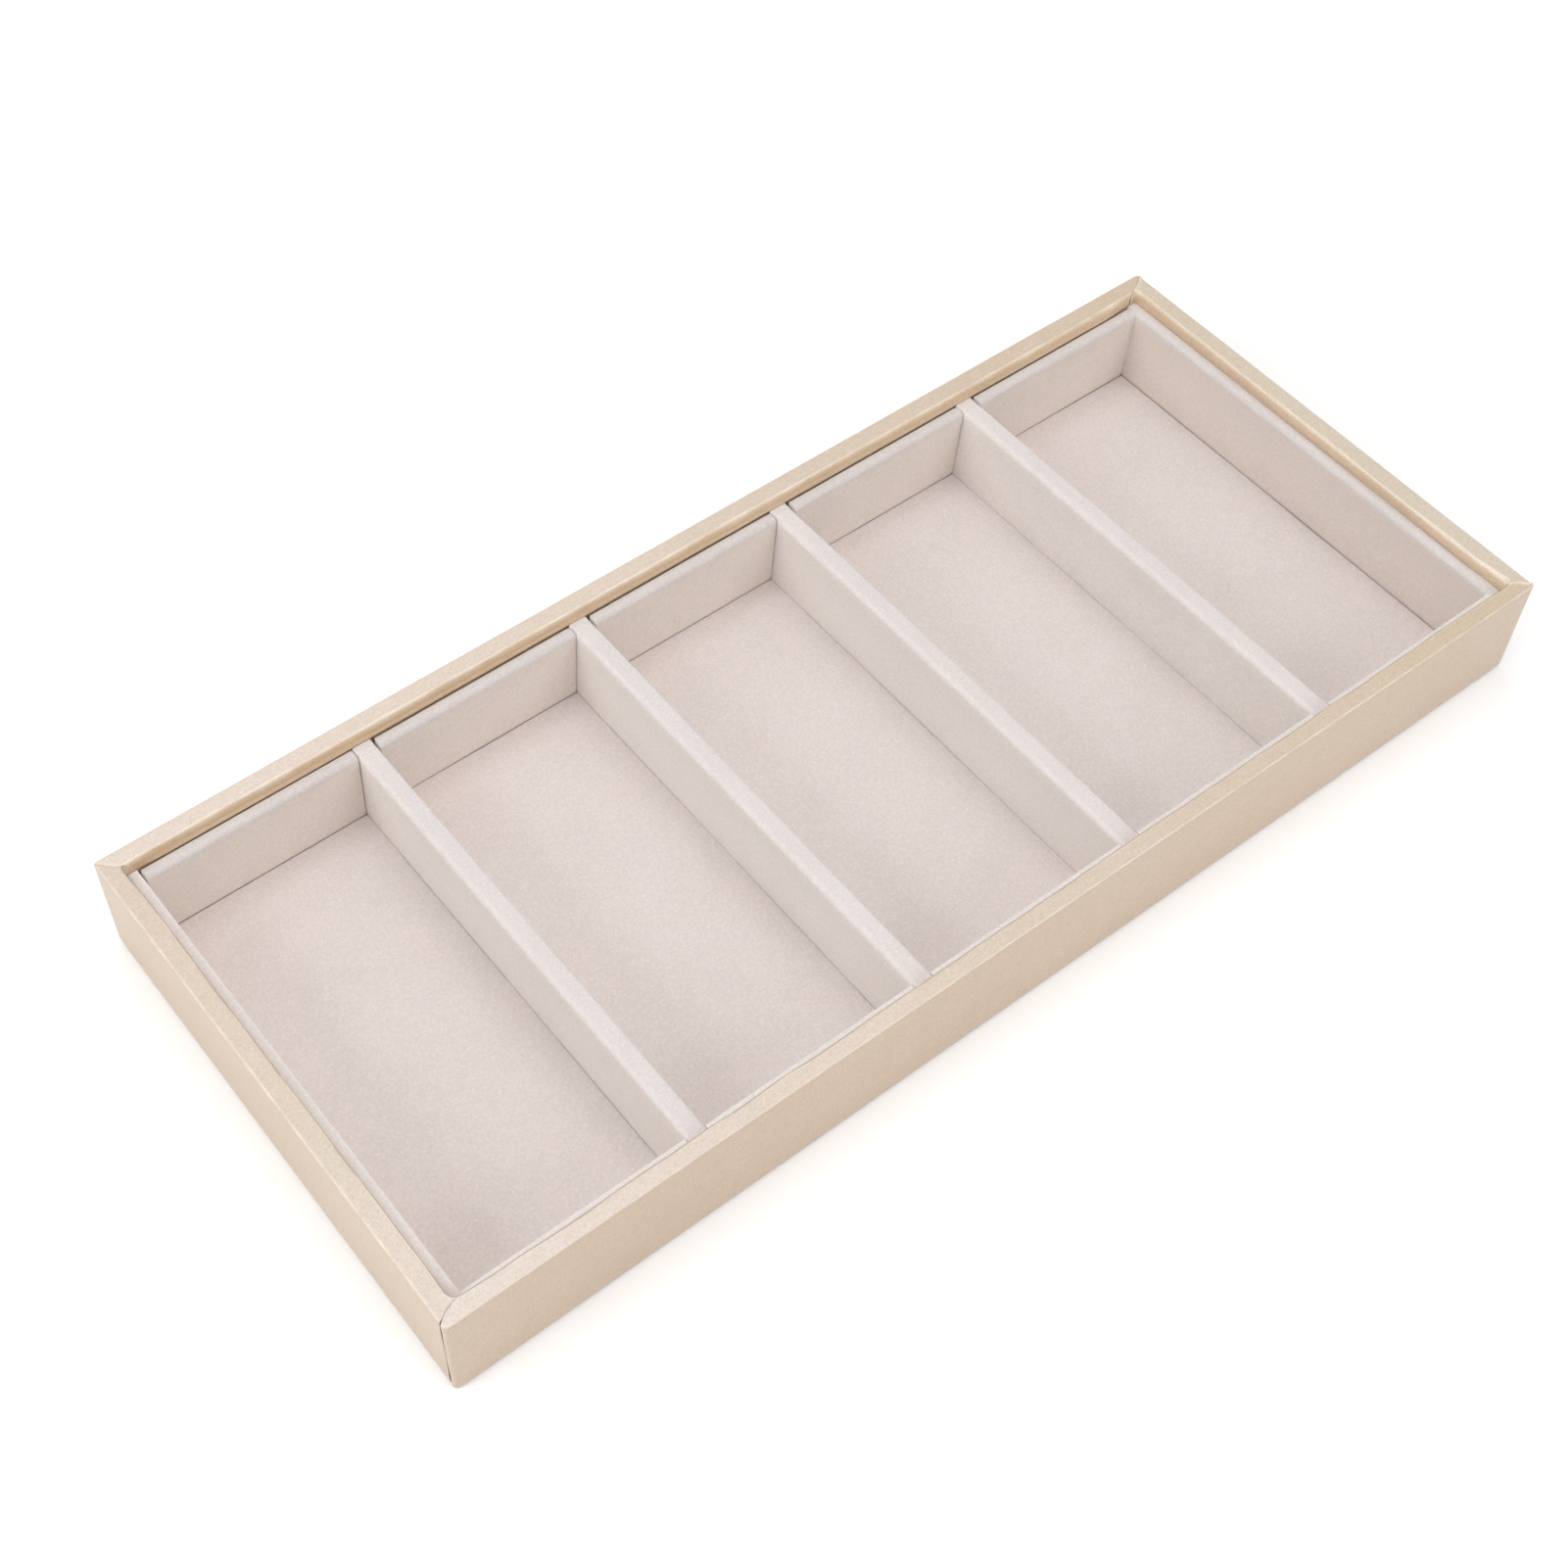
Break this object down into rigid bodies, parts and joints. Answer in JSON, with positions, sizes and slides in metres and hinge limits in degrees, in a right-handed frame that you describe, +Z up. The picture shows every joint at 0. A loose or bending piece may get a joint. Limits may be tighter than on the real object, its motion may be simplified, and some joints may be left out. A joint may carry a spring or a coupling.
{
  "type": "glasses organizer tray",
  "caption": "Open rectangular tray in leatherette with a mitred rim, lined in microsuede and split by lift-out dividers into equal compartments for folded glasses.",
  "frame": {"origin": "centre of the underside, on the surface that the tray stands on", "axes": "+X along the row of compartments to the right, +Y across the tray to its back, +Z up out of the compartments"},
  "size_m": [0.4, 0.175, 0.039],
  "materials": {
    "leatherette": "pearl champagne leatherette with a fine grain",
    "microsuede": "pale greige microsuede with a short soft nap",
    "fibreboard": "raw fibreboard, hidden under its covering",
    "card": "raw grey card, hidden under its covering",
    "underside": "thin matt backing sheet"
  },
  "bodies": {
    "tray": {"floor_board": "card", "front_wall_board": "fibreboard", "back_wall_board": "fibreboard", "left_wall_board": "fibreboard", "right_wall_board": "fibreboard", "front_wrap": "leatherette", "back_wrap": "leatherette", "left_wrap": "leatherette", "right_wrap": "leatherette", "underside_sheet": "underside", "left_liner_card": "card", "left_liner_cover": "microsuede", "right_liner_card": "card", "right_liner_cover": "microsuede", "back_liner_1_card": "card", "back_liner_1_cover": "microsuede", "back_liner_2_card": "card", "back_liner_2_cover": "microsuede", "back_liner_3_card": "card", "back_liner_3_cover": "microsuede", "back_liner_4_card": "card", "back_liner_4_cover": "microsuede", "back_liner_5_card": "card", "back_liner_5_cover": "microsuede", "front_liner_1_card": "card", "front_liner_1_cover": "microsuede", "front_liner_2_card": "card", "front_liner_2_cover": "microsuede", "front_liner_3_card": "card", "front_liner_3_cover": "microsuede", "front_liner_4_card": "card", "front_liner_4_cover": "microsuede", "front_liner_5_card": "card", "front_liner_5_cover": "microsuede", "floor_panel_1_card": "card", "floor_panel_1_cover": "microsuede", "floor_panel_2_card": "card", "floor_panel_2_cover": "microsuede", "floor_panel_3_card": "card", "floor_panel_3_cover": "microsuede", "floor_panel_4_card": "card", "floor_panel_4_cover": "microsuede", "floor_panel_5_card": "card", "floor_panel_5_cover": "microsuede"},
    "divider_1": {"divider_1_board": "fibreboard", "divider_1_cover": "microsuede"},
    "divider_2": {"divider_2_board": "fibreboard", "divider_2_cover": "microsuede"},
    "divider_3": {"divider_3_board": "fibreboard", "divider_3_cover": "microsuede"},
    "divider_4": {"divider_4_board": "fibreboard", "divider_4_cover": "microsuede"}
  },
  "joints": [
    {"name": "divider_1_lift", "type": "slide", "parent": "tray", "child": "divider_1", "axis": [0, 0, 1], "range_m": [0, 0.045]},
    {"name": "divider_2_lift", "type": "slide", "parent": "tray", "child": "divider_2", "axis": [0, 0, 1], "range_m": [0, 0.045]},
    {"name": "divider_3_lift", "type": "slide", "parent": "tray", "child": "divider_3", "axis": [0, 0, 1], "range_m": [0, 0.045]},
    {"name": "divider_4_lift", "type": "slide", "parent": "tray", "child": "divider_4", "axis": [0, 0, 1], "range_m": [0, 0.045]}
  ]
}
